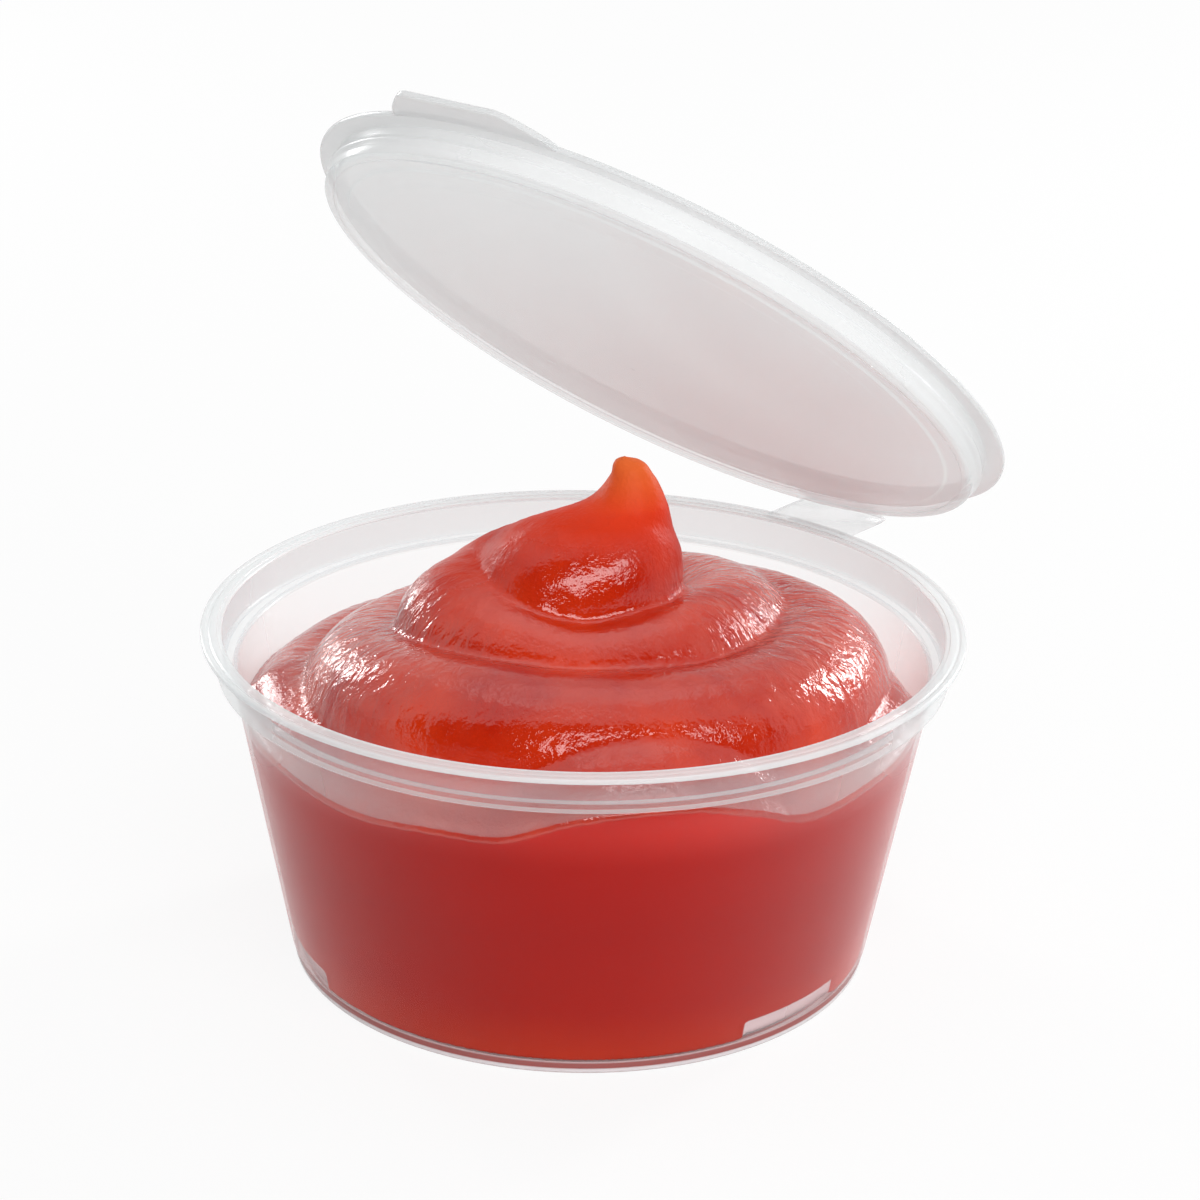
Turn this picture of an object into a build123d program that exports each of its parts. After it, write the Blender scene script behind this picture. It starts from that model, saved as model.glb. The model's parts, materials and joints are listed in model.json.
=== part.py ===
from build123d import *
from math import asin, cos, radians, sin, tan
import os

# Hinged sauce cup, all sizes in millimetres. The cup stands on Z = 0 with its axis on Z.
# The hinge is on the +Y side with its creases along X, and the thumb tab is on the -Y side.
# The lid is drawn partly open, at rest_open degrees from closed.

# Cup shell, a thin tapered moulding
rim_radius = 31.0
cup_height = 28.5
wall = 0.5
rim_overhang = 1.22
flange_thickness = 0.5
collar_height = 3.44
collar_step = 1.19
base_radius = 24.15
foot_relief = 0.25
foot_height = 1.3
foot_width = 0.9
floor_rise = 0.6
floor_corner = 1.0
rim_groove_inset = 0.6
rim_groove_width = 0.35
rim_groove_depth = 0.12
seal_land_drop = 0.12
seal_land_width = 0.4
edge_round = 0.2
radius_match = 0.05

# Hinge strap: two stiff leaves with a thin film between them, creased at both ends of the film
rest_open = 41.0
strap_width = 8.25
leaf_length = 5.2
leaf_thickness = 0.45
film_thickness = 0.25
film_depth = 0.25
leaf_setback = 0.2
fold_clearance = 0.08
closed_gap = 0.12

# Lid: a flat flange, a plug that enters the collar, and a sunk panel level with the plug's end
lid_inset = 0.7
plug_clearance = 0.2
plug_depth = 2.5
plug_taper = 0.15
plug_bead = 0.28
plug_bead_height = 0.8
plug_bead_place = 1.15
plug_round = 0.35
panel_ring_width = 0.8
panel_groove_width = 1.5
panel_groove_depth = 0.2

# Thumb tab on the lid, wider at its root than at its tip
tab_reach = 2.9
tab_root_width = 16.0
tab_tip_width = 11.0
tab_corner = 1.2

# Sauce: a fill with a rounded shoulder, and a rope piped on it in two rounds up to a peak
sauce_clearance = 0.05
fill_drop = 1.06
fill_corner = 1.8
fill_shoulder = 3.6
swirl_bearing = 40.0
swirl_gap = 4.88
rope_radius = 6.9
inner_round_radius = 9.8
core_margin = 1.5
core_foot_drop = 6.0
core_top_rise = 4.0

# The outer round: turn from the swirl's bearing, how far inward (0 outer round, 1 inner round),
# and in rope radii the rise of the rope's centre over the fill and the rope's own radius there
outer_round = [
    (80, 0.02, -0.54, 0.54),
    (60, 0.0, -0.42, 0.87),
    (30, -0.1, -0.32, 0.97),
    (0, -0.18, -0.23, 1.0),
    (-45, -0.12, -0.13, 1.0),
    (-90, -0.01, -0.07, 1.0),
    (-135, 0.01, -0.13, 0.99),
    (-180, 0.04, -0.28, 0.97),
    (-225, 0.12, -0.45, 0.94),
    (-260, 0.16, -0.41, 0.94),
]

# The inner round, which starts inside the end of the outer one and climbs to the peak's flank
inner_round = [
    (-245, 0.16, -0.42, 0.91),
    (-270, 0.17, -0.39, 0.94),
    (-305, 0.3, -0.19, 0.9),
    (-340, 0.64, 0.13, 0.84),
    (-375, 0.92, 0.36, 0.78),
    (-410, 1.0, 0.41, 0.77),
    (-450, 1.02, 0.36, 0.77),
    (-485, 0.97, 0.42, 0.81),
    (-520, 0.97, 0.48, 0.87),
    (-550, 1.1, 0.54, 0.87),
]

# The peak leans along the swirl's bearing. In rope radii: rise over the fill, place along and
# across the bearing, and half its length along and across it
peak_sections = [
    (0.51, -0.43, 0.09, 1.68, 1.07),
    (0.94, -0.43, 0.06, 1.62, 0.97),
    (1.23, -0.16, 0.0, 1.36, 0.93),
    (1.59, 0.17, -0.03, 1.0, 0.8),
    (1.96, 0.43, 0.0, 0.59, 0.52),
    (2.25, 0.54, 0.0, 0.35, 0.33),
    (2.46, 0.48, 0.0, 0.2, 0.2),
    (2.65, 0.39, 0.0, 0.09, 0.09),
]

# Levels and radii that follow from the sizes above
flange_underside = cup_height - flange_thickness
collar_outer = rim_radius - rim_overhang
collar_inner = collar_outer - wall
collar_bottom = cup_height - collar_height
ledge_level = collar_bottom + wall
body_top_outer = collar_outer - collar_step
body_top_inner = body_top_outer - wall
base_inner = base_radius - wall
foot_radius = base_radius - foot_relief
floor_level = floor_rise + wall
fill_level = ledge_level - fill_drop
rim_groove_radius = rim_radius - rim_groove_inset
lid_radius = rim_radius - lid_inset
plug_radius = collar_inner - plug_clearance - plug_bead
outer_round_radius = collar_inner - swirl_gap - rope_radius


def cavity_radius(level):
    """Radius of the cup's inside at a height between its floor and its ledge."""
    share = (level - floor_level) / (ledge_level - floor_level)
    return base_inner + share * (body_top_inner - base_inner)


# Creases: fold is where the film leaves the cup's leaf, lid_crease where it meets the lid's leaf
film_length = (2 * film_depth + closed_gap) / sin(radians(rest_open))
fold = Vector(0, rim_radius + leaf_length, cup_height - film_depth)
film_direction = Vector(0, -cos(radians(rest_open)), sin(radians(rest_open)))
lid_crease = fold + film_direction * film_length

# The lid's own plane: its origin is the centre of the flange's inner face, and Z is its outside
lid_centre = lid_crease + Vector(0, -lid_crease.Y, -film_depth).rotate(Axis.X, -rest_open)
lid_normal = Vector(0, 0, 1).rotate(Axis.X, -rest_open)
lid_plane = Plane(origin=lid_centre, x_dir=(1, 0, 0), z_dir=lid_normal)
lid_section = Plane(origin=lid_centre, x_dir=(1, 0, 0), z_dir=-lid_plane.y_dir)
lid_axis = Axis(lid_centre, lid_normal)

# Leaf planes: X runs from the crease along the leaf, Y points to the face that folds inward
cup_leaf_plane = Plane(origin=fold, x_dir=(0, -1, 0), z_dir=(-1, 0, 0))
lid_leaf_plane = Plane(origin=lid_crease, x_dir=-lid_plane.y_dir, z_dir=(1, 0, 0))
film_plane = Plane(origin=(fold + lid_crease) / 2, x_dir=film_direction, z_dir=(1, 0, 0))

tab_half_angle = asin(tab_root_width / (2 * lid_radius))


def leaf_outline(reach):
    """Side view of a leaf, bevelled beside its crease to clear the folded film."""
    gap = film_thickness / 2 + fold_clearance
    underside = film_depth - leaf_thickness
    bevel_foot = (leaf_setback * sin(radians(rest_open)) - gap) / cos(radians(rest_open))
    bevel_top = gap / sin(radians(rest_open)) + film_depth / tan(radians(rest_open))
    return [
        (leaf_setback, underside),
        (leaf_setback, max(bevel_foot, underside + fold_clearance)),
        (bevel_top, film_depth),
        (reach, film_depth),
        (reach, underside),
    ]


def around(turn, reach, height):
    """A point by its turn from the swirl's bearing and its distance from the cup's axis."""
    bearing = radians(swirl_bearing + turn)
    return Vector(reach * cos(bearing), reach * sin(bearing), height)


def rope_stations(piped_round):
    """Centre and radius of the rope at each station of a round."""
    stations = []
    for turn, inward, rise, thickness in piped_round:
        reach = outer_round_radius + inward * (inner_round_radius - outer_round_radius)
        centre = around(turn, reach, fill_level + rise * rope_radius)
        stations.append((centre, thickness * rope_radius))
    return stations


def piped_rope(stations):
    """A rope lofted through round sections that stand square to its line."""
    with BuildPart() as rope:
        for index, (centre, radius) in enumerate(stations):
            before = stations[max(index - 1, 0)][0]
            after = stations[min(index + 1, len(stations) - 1)][0]
            along = (after - before).normalized()
            level = Vector(0, 0, 1).cross(along).normalized()
            with BuildSketch(Plane(origin=centre, x_dir=level, z_dir=along)):
                Circle(radius)
        loft()
    return rope.part


def piped_peak(sections):
    """The leaning peak, lofted through level oval sections."""
    with BuildPart() as peak:
        for rise, along, across, half_along, half_across in sections:
            centre = around(0, along, rise) * rope_radius + around(90, across, 0) * rope_radius
            centre += Vector(0, 0, fill_level)
            with BuildSketch(Plane(origin=centre, x_dir=around(0, 1, 0), z_dir=(0, 0, 1))):
                Ellipse(half_along * rope_radius, half_across * rope_radius)
        loft()
    return peak.part


def round_edges(solid, radius):
    """The round edges of a solid that have a given radius."""
    circles = solid.edges().filter_by(GeomType.CIRCLE)
    return circles.filter_by(lambda edge: abs(edge.radius - radius) < radius_match)


# The cup shell is one turned section: foot, tapered wall, collar and flange
with BuildPart() as cup:
    with BuildSketch(Plane.XZ):
        with BuildLine():
            Polyline(
                (0, floor_rise),
                (foot_radius - foot_width, floor_rise),
                (foot_radius - foot_width, 0),
                (foot_radius, 0),
                (foot_radius, foot_height - foot_relief),
                (base_radius, foot_height),
                (body_top_outer, collar_bottom),
                (collar_outer, collar_bottom),
                (collar_outer, flange_underside),
                (rim_radius, flange_underside),
                (rim_radius, cup_height),
                (collar_inner + seal_land_width, cup_height),
                (collar_inner + seal_land_width, cup_height - seal_land_drop),
                (collar_inner, cup_height - seal_land_drop),
                (collar_inner, ledge_level),
                (body_top_inner, ledge_level),
                (base_inner, floor_level),
                (0, floor_level),
                close=True,
            )
        make_face()
    revolve(axis=Axis.Z)
    fillet(round_edges(cup, base_inner), radius=floor_corner)
    fillet(round_edges(cup, rim_radius), radius=edge_round)
    with BuildSketch(Plane.XZ):
        with BuildLine():
            Polyline(
                (rim_groove_radius - rim_groove_width / 2, cup_height),
                (rim_groove_radius, cup_height - rim_groove_depth),
                (rim_groove_radius + rim_groove_width / 2, cup_height),
                close=True,
            )
        make_face()
    revolve(axis=Axis.Z, mode=Mode.SUBTRACT)
cup.part.label = "cup"

# The cup's hinge leaf stands out from the rim, flush with its top
with BuildPart() as cup_hinge_leaf:
    with BuildSketch(cup_leaf_plane):
        with BuildLine():
            Polyline(*leaf_outline(leaf_length + rim_overhang), close=True)
        make_face()
    extrude(amount=strap_width / 2, both=True)
    with BuildSketch():
        Circle(rim_radius)
    extrude(amount=2 * cup_height, mode=Mode.SUBTRACT)
cup_hinge_leaf.part.label = "cup_hinge_leaf"

# The film between the creases is the thinnest place of the moulding
with BuildPart() as hinge_film:
    with BuildSketch(film_plane):
        SlotCenterToCenter(film_length, film_thickness)
    extrude(amount=strap_width / 2, both=True)
hinge_film.part.label = "hinge_film"

# The lid's hinge leaf is the same leaf turned over, cut to the lid's flange
with BuildPart() as lid_hinge_leaf:
    with BuildSketch(lid_leaf_plane):
        with BuildLine():
            Polyline(*leaf_outline(lid_crease.Y - lid_radius + rim_overhang), close=True)
        make_face()
    extrude(amount=strap_width / 2, both=True)
    with BuildSketch(lid_plane.offset(-leaf_thickness)):
        Circle(lid_radius)
    extrude(amount=3 * leaf_thickness, mode=Mode.SUBTRACT)
lid_hinge_leaf.part.label = "lid_hinge_leaf"

# The lid is one turned section: flange, plug with its snap bead, and the sunk panel
panel_level = -plug_depth
groove_outer = plug_radius - plug_taper - panel_ring_width
groove_inner = groove_outer - panel_groove_width
with BuildPart() as lid:
    with BuildSketch(lid_section):
        with BuildLine():
            Polyline(
                (0, panel_level),
                (groove_inner, panel_level),
                (groove_inner + panel_groove_depth, panel_level + panel_groove_depth),
                (groove_outer, panel_level + panel_groove_depth),
                (groove_outer, panel_level),
                (plug_radius - plug_taper, panel_level),
                (plug_radius, -plug_bead_place - plug_bead_height / 2),
                (plug_radius + plug_bead, -plug_bead_place),
                (plug_radius, -plug_bead_place + plug_bead_height / 2),
                (plug_radius, 0),
                (lid_radius, 0),
                (lid_radius, flange_thickness),
                (plug_radius - wall, flange_thickness),
                (plug_radius - plug_taper - wall, panel_level + panel_groove_depth + wall),
                (0, panel_level + panel_groove_depth + wall),
                close=True,
            )
        make_face()
    revolve(axis=lid_axis)
    fillet(round_edges(lid, plug_radius - plug_taper), radius=plug_round)
    fillet(round_edges(lid, lid_radius), radius=edge_round)
lid.part.label = "lid"

# The thumb tab is a rounded trapezoid that meets the lid's flange along its edge
with BuildPart() as thumb_tab:
    with BuildSketch(lid_plane):
        with BuildLine():
            Polyline(
                (0, 0),
                (-tab_root_width / 2, -lid_radius * cos(tab_half_angle)),
                (-tab_tip_width / 2, -lid_radius - tab_reach),
                (tab_tip_width / 2, -lid_radius - tab_reach),
                (tab_root_width / 2, -lid_radius * cos(tab_half_angle)),
                close=True,
            )
        make_face()
        fillet(vertices().group_by(Axis.Y)[0], radius=tab_corner)
        Circle(lid_radius, mode=Mode.SUBTRACT)
    extrude(amount=flange_thickness)
thumb_tab.part.label = "thumb_tab"

# The fill follows the cup's inside, stops short of the corner of its floor, and falls away from
# the wall in a rounded shoulder
with BuildPart() as sauce_fill:
    with BuildSketch(Plane.XZ):
        with BuildLine():
            Polyline(
                (0, floor_level + sauce_clearance),
                (cavity_radius(floor_level) - sauce_clearance, floor_level + sauce_clearance),
                (cavity_radius(fill_level) - sauce_clearance, fill_level),
                (0, fill_level),
                close=True,
            )
        make_face()
        fillet(vertices().group_by(Axis.Y)[0].sort_by(Axis.X)[-1], radius=fill_corner)
        fillet(vertices().group_by(Axis.Y)[-1].sort_by(Axis.X)[-1], radius=fill_shoulder)
    revolve(axis=Axis.Z)
sauce_fill.part.label = "sauce_fill"

# The swirl is one rope in two rounds round a core, and a peak that leans over
outer_rope = piped_rope(rope_stations(outer_round))
inner_rope = piped_rope(rope_stations(inner_round))
swirl_peak = piped_peak(peak_sections)
with BuildPart() as sauce_swirl:
    with BuildSketch(Plane.XY.offset(fill_level - core_foot_drop)):
        Circle(outer_round_radius + core_margin)
    with BuildSketch(Plane.XY.offset(fill_level + core_top_rise)):
        Circle(inner_round_radius - core_margin)
    loft()
    add(outer_rope)
    add(inner_rope)
    add(swirl_peak)
    split(bisect_by=Plane.XY.offset(fill_level), keep=Keep.TOP)
sauce_swirl.part.label = "sauce_swirl"

os.makedirs("parts", exist_ok=True)
for piece in (
    cup,
    cup_hinge_leaf,
    hinge_film,
    lid_hinge_leaf,
    lid,
    thumb_tab,
    sauce_fill,
    sauce_swirl,
):
    export_step(piece.part, f"parts/{piece.part.label}.step")
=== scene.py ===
"""The looks of a small hinged sauce cup: the clear cup, its strap hinge, the lid and the sauce.

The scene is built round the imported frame, in metres. The cup stands on Z = 0 with its axis on Z,
the hinge is toward +Y, and the lid is partly open. Sizes are written in millimetres and turned
into metres where a mesh is made. The studio and the patterns are in metres.
"""

import json
import logging
import math
from dataclasses import dataclass
from enum import Enum

import bmesh
import bpy
from mathutils import Euler, Matrix, Vector


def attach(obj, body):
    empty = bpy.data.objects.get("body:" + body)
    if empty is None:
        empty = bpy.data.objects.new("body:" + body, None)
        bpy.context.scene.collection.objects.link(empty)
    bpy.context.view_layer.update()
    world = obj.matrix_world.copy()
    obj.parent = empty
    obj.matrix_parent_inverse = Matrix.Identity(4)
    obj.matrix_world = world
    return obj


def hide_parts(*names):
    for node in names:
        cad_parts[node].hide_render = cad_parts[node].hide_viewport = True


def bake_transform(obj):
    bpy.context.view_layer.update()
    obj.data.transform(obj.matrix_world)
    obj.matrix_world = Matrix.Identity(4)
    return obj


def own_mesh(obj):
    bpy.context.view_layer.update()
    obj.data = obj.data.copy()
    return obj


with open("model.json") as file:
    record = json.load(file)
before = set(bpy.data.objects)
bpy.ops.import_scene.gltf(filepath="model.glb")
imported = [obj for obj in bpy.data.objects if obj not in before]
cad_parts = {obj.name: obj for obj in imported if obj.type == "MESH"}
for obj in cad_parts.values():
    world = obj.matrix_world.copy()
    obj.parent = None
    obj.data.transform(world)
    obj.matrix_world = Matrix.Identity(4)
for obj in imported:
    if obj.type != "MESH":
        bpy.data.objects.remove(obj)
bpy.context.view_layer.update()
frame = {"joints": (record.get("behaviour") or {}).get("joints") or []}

BMesh = bmesh.types.BMesh
Material = bpy.types.Material
Piece = bpy.types.Object
Socket = bpy.types.NodeSocket
Sockets = dict[str, Socket]
Colour = tuple[float, float, float]
Span = tuple[float, float]
Rows = tuple[tuple[float, ...], ...]

MM = 0.001
UNIT = (0.0, 1.0)
LOG = logging.getLogger("sauce_cup")
TURN_STEPS = 240
SHARP_ANGLE = 1.0
PHOTO_BEARING_DEG = 40.0
REST_OPEN_DEG = 41.0
FILM_DEPTH = 0.25

# The places of a shell's other plastics among its materials, after the plain one at 0.
WET_FACE, INSIDE_FACE = 1, 2
PANEL_FACE = 1


class Body(str, Enum):
    """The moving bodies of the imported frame."""

    CUP = "cup_body"
    FILM = "film_body"
    LID = "lid_body"


class Slot(str, Enum):
    """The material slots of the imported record."""

    CUP = "cup_plastic"
    LID = "lid_plastic"
    SAUCE = "sauce"


@dataclass(frozen=True)
class Corner:
    """One corner of a turned section: its radius, its height and how far it is rounded."""

    radius: float
    height: float
    rounding: float = 0.0


@dataclass(frozen=True)
class Station:
    """One control point of the piped rope: where its centre is and how thick it is there."""

    place: Vector
    thickness: float


def joint_place(name: str) -> Vector:
    """A point on the axis of a joint of the frame, in millimetres."""
    joint = next(j for j in frame["joints"] if j["name"] == name)
    return Vector(joint["pos_m"]) / MM


def direction(bearing_deg: float, elevation_deg: float) -> Vector:
    """The way to a bearing, 0 in front and 90 to the right, at an angle over the floor."""
    turn = Euler((-math.radians(elevation_deg), 0, math.radians(bearing_deg)))
    return turn.to_matrix() @ Vector((0, -1, 0))


def turned_section(corners: list[Corner]) -> BMesh:
    """Turns an open section, which starts and ends on its axis, into a closed shell.

    Args:
        corners: The section's corners in order.

    Returns:
        The shell round the Z axis, in the corners' own unit.
    """
    shell = bmesh.new()
    points = [shell.verts.new((c.radius, 0.0, c.height)) for c in corners]
    for first, second in zip(points, points[1:]):
        shell.edges.new((first, second))
    for corner, point in zip(corners, points):
        if corner.rounding > 0:
            bmesh.ops.bevel(
                shell, geom=[point], offset=corner.rounding, offset_type="OFFSET", segments=4,
                profile=0.5, affect="VERTICES", material=-1,
            )
    bmesh.ops.spin(
        shell, geom=shell.verts[:] + shell.edges[:], cent=(0, 0, 0), axis=(0, 0, 1),
        angle=math.tau, steps=TURN_STEPS, use_merge=True,
    )
    bmesh.ops.remove_doubles(shell, verts=shell.verts, dist=1e-4)
    bmesh.ops.recalc_face_normals(shell, faces=shell.faces)
    return shell


def thicken(shape: BMesh, way: tuple[float, float, float], **settings: bool) -> None:
    """Makes a flat mesh into a closed one by extruding it.

    Args:
        shape: The flat mesh, which is changed.
        way: How far its other side lies from it.
        settings: Further settings of the extrusion.
    """
    made = bmesh.ops.extrude_face_region(shape, geom=shape.faces[:], **settings)
    moved = [part for part in made["geom"] if isinstance(part, bmesh.types.BMVert)]
    bmesh.ops.translate(shape, vec=way, verts=moved)
    bmesh.ops.recalc_face_normals(shape, faces=shape.faces)


def in_scene(name: str, data: bpy.types.ID) -> Piece:
    """Makes an object of a mesh, lamp or camera and puts it in the scene."""
    thing = bpy.data.objects.new(name, data)
    bpy.context.scene.collection.objects.link(thing)
    return thing


def finished_piece(shape: BMesh, name: str, place: Matrix | None = None) -> Piece:
    """Makes a smooth shaded object from a bmesh in millimetres, and frees the bmesh.

    Args:
        shape: The mesh, in millimetres.
        name: The piece's name.
        place: Where the shape goes, in millimetres, or nothing where it is in place already.

    Returns:
        The new object, which sits at the origin with its place in its mesh.
    """
    if place is not None:
        bmesh.ops.transform(shape, matrix=place, verts=shape.verts)
    bmesh.ops.scale(shape, vec=(MM, MM, MM), verts=shape.verts)
    mesh = bpy.data.meshes.new(name)
    shape.to_mesh(mesh)
    shape.free()
    mesh.shade_smooth()
    return in_scene(name, mesh)


def dress(piece: Piece, slot: Slot, *finishes: Material) -> None:
    """Gives a piece its materials.

    Args:
        piece: The object to dress.
        slot: The record's material slot. It is not used.
        finishes: Its materials, in the order of its faces' material indexes.
    """
    for finish in finishes:
        piece.data.materials.append(finish)


def smoothstep(low: float, high: float, value: float) -> float:
    """A smooth rise from 0 at the low value to 1 at the high value."""
    share = min(1.0, max(0.0, (value - low) / (high - low)))
    return share * share * (3 - 2 * share)


class NodeBench:
    """A node tree, with short calls to add and join its nodes."""

    def __init__(self, owner: Material | bpy.types.World) -> None:
        """Starts the tree of a new material or world, with only its shader and its output."""
        owner.use_nodes = True
        self.owner = owner
        self.tree = owner.node_tree
        self.shader = self.tree.nodes.get("Principled BSDF") or self.tree.nodes["Background"]

    def add(self, kind: str, **values: object) -> bpy.types.Node:
        """Adds a node.

        Args:
            kind: The node's type, without its ShaderNode prefix.
            values: Its settings, and the values of its inputs, by their names with spaces as _.

        Returns:
            The new node.
        """
        node = self.tree.nodes.new(f"ShaderNode{kind}")
        for key, value in values.items():
            socket = node.inputs.get(key.replace("_", " "))
            if socket is not None:
                socket.default_value = value
            else:
                setattr(node, key, value)
        return node

    def join(self, output: Socket, target: Socket) -> None:
        """Links an output socket to an input socket."""
        self.tree.links.new(output, target)

    def shade(self, **values: object) -> None:
        """Sets the shader's inputs.

        Args:
            values: A socket to follow or a plain value for each input, by the inputs' names with
                spaces as _.
        """
        for key, value in values.items():
            target = self.shader.inputs[key.replace("_", " ")]
            if isinstance(value, Socket):
                self.join(value, target)
            else:
                target.default_value = value

    def noise(self, scale: float, detail: float = 3.0, rough: float = 0.5) -> Socket:
        """A noise pattern on the piece's own coordinates.

        Args:
            scale: The noise's scale, in waves per metre.
            detail: The number of finer octaves.
            rough: How strong the finer octaves are.

        Returns:
            The noise's factor.
        """
        place = self.add("TexCoord")
        pattern = self.add("TexNoise", Scale=scale, Detail=detail, Roughness=rough)
        self.join(place.outputs["Object"], pattern.inputs["Vector"])
        return pattern.outputs["Fac"]

    def place_on_piece(self) -> Sockets:
        """The piece's own coordinates, one by one.

        Returns:
            The sockets X, Y and Z, and turned for the bearing round Z, in radians, and reach for
            the distance from the axis.
        """
        place = self.add("TexCoord")
        split = self.add("SeparateXYZ")
        self.join(place.outputs["Object"], split.inputs[0])
        turned = self.calc("ARCTAN2", split.outputs["Y"], split.outputs["X"])
        flat = self.add("CombineXYZ")
        for name in "XY":
            self.join(split.outputs[name], flat.inputs[name])
        reach = self.add("VectorMath", operation="LENGTH")
        self.join(flat.outputs[0], reach.inputs[0])
        return {**split.outputs, "turned": turned, "reach": reach.outputs["Value"]}

    def calc(self, operation: str, first: Socket, second: Socket | float) -> Socket:
        """The result of a math operation on a socket and a socket or a number."""
        node = self.add("Math", operation=operation)
        self.join(first, node.inputs[0])
        if isinstance(second, float):
            node.inputs[1].default_value = second
        else:
            self.join(second, node.inputs[1])
        return node.outputs[0]

    def times(self, first: Socket, second: Socket | float) -> Socket:
        """A socket times a socket or a number."""
        return self.calc("MULTIPLY", first, second)

    def spread(self, factor: Socket, ends: Span = UNIT, span: Span = UNIT) -> Socket:
        """Maps a factor's span to the ends, and holds it there outside."""
        ranged = self.add("MapRange")
        for socket, value in zip(list(ranged.inputs)[1:5], (*span, *ends)):
            socket.default_value = value
        self.join(factor, ranged.inputs["Value"])
        return ranged.outputs["Result"]

    def over(self, length: Socket, span: Span, ends: Span = UNIT) -> Socket:
        """Maps a length's span, in millimetres, to the ends, and holds it there outside."""
        return self.spread(length, ends, (span[0] * MM, span[1] * MM))

    def mix(self, factor: Socket, first: Colour | Socket, second: Colour | Socket) -> Socket:
        """Mixes two colours, each a plain one or a socket's, by a factor."""
        node = self.add("Mix", data_type="RGBA")
        self.join(factor, node.inputs["Factor"])
        for socket, colour in ((node.inputs["A"], first), (node.inputs["B"], second)):
            if isinstance(colour, tuple):
                socket.default_value = (*colour, 1.0)
            else:
                self.join(colour, socket)
        return node.outputs["Result"]

    def colour_bands(self, factor: Socket, bands: list[tuple[float, Colour]]) -> Socket:
        """A colour ramp with a stop at each band's place."""
        node = self.add("ValToRGB")
        stops = node.color_ramp.elements
        while len(stops) < len(bands):
            stops.new(1.0)
        for stop, (place, colour) in zip(stops, bands):
            stop.position = place
            stop.color = (*colour, 1.0)
        self.join(factor, node.inputs[0])
        return node.outputs["Color"]

    def bump(self, height: Socket, distance: float, below: Socket | None = None) -> Socket:
        """A bump over an optional coarser one.

        Args:
            height: The pattern that gives the height.
            distance: The height of the pattern, in metres.
            below: The normal of the coarser bump.

        Returns:
            The bumped normal.
        """
        node = self.add("Bump", Distance=distance, Strength=1.0)
        self.join(height, node.inputs["Height"])
        if below is not None:
            self.join(below, node.inputs["Normal"])
        return node.outputs["Normal"]


@dataclass(frozen=True)
class MilkyPlastic:
    """Thin moulded polypropylene: clearer when seen square on, milky where it is seen along."""

    name: str
    tint: Colour = (0.9, 0.91, 0.92)
    face_alpha: float = 0.3
    edge_alpha: float = 0.75
    steepness: float = 1.8
    thick_alpha: float = 0.0
    thick_span: Span = (27.75, 28.05)
    gloss: float = 0.5
    ior: float = 1.49
    roughness: Span = (0.14, 0.26)
    grain_height: float = 0.00002
    ring_height: float = 0.0

    def colour(self, bench: NodeBench) -> Socket:
        """The plastic's own colour, with faint clouds in it."""
        paler = tuple(min(1.0, part * 1.05) for part in self.tint)
        return bench.mix(bench.noise(scale=160.0), self.tint, paler)

    def cover(self, bench: NodeBench) -> Socket:
        """How much the plastic hides, which is more where it is thick or seen along."""
        seen_along = bench.add("LayerWeight", Blend=0.5)
        steep = bench.calc("POWER", seen_along.outputs["Facing"], self.steepness)
        cover = bench.spread(steep, (self.face_alpha, self.edge_alpha))
        if self.thick_alpha > 0:
            height = bench.place_on_piece()["Z"]
            thick = bench.over(height, self.thick_span, (0.0, self.thick_alpha))
            cover = bench.calc("MAXIMUM", cover, thick)
        return cover

    def build(self) -> Material:
        """Makes the plastic's material."""
        bench = NodeBench(bpy.data.materials.new(self.name))
        grain = bench.noise(scale=400.0)
        waves = bench.bump(grain, self.grain_height)
        if self.ring_height > 0:
            lines = bench.add("TexNoise", noise_dimensions="1D", Scale=2600.0, Detail=1.0)
            bench.join(bench.place_on_piece()["reach"], lines.inputs["W"])
            waves = bench.bump(lines.outputs["Fac"], self.ring_height, below=waves)
        bench.shade(
            Base_Color=self.colour(bench),
            Alpha=self.cover(bench),
            Specular_IOR_Level=self.gloss,
            IOR=self.ior,
            Roughness=bench.spread(grain, self.roughness),
            Normal=waves,
        )
        return bench.owner


@dataclass(frozen=True)
class WetWallPlastic(MilkyPlastic):
    """The outside of the wall that the sauce wets: clear, with the sauce's light painted into its
    colour.
    """

    face_alpha: float = 0.004
    edge_alpha: float = 0.85
    steepness: float = 2.5
    thick_alpha: float = 0.85
    thick_span: Span = (1.2, 1.12)
    foot_height: float = 1.15
    sauce_height: float = 23.0
    # Painted light: red and rose are the sauce's light in the plastic, pale the bright lines of the
    # foot.
    red: Colour = (0.37, 0.06, 0.05)
    rose: Colour = (0.85, 0.4, 0.4)
    pale: Colour = (0.9, 0.86, 0.88)

    def colour(self, bench: NodeBench) -> Socket:
        """Painted light: the sauce's red and bright lines in the foot, its rose along the wall,
        plain plastic over it.
        """
        red, rose, pale = self.red, self.rose, self.pale
        # Bands of painted light in the foot: the sauce's red between pale bright lines.
        places = (0.0, 0.06, 0.11, 0.38, 0.44, 0.84, 0.9, 1.0)
        in_foot = (red, red, pale, pale, red, red, pale, rose)
        foot = self.foot_height / self.sauce_height
        bands = [(place * foot, colour) for place, colour in zip(places, in_foot)]
        bands += [(0.85, rose), (1.0, self.tint)]
        height = bench.place_on_piece()["Z"]
        return bench.colour_bands(bench.over(height, (0.0, self.sauce_height)), bands)


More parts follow.
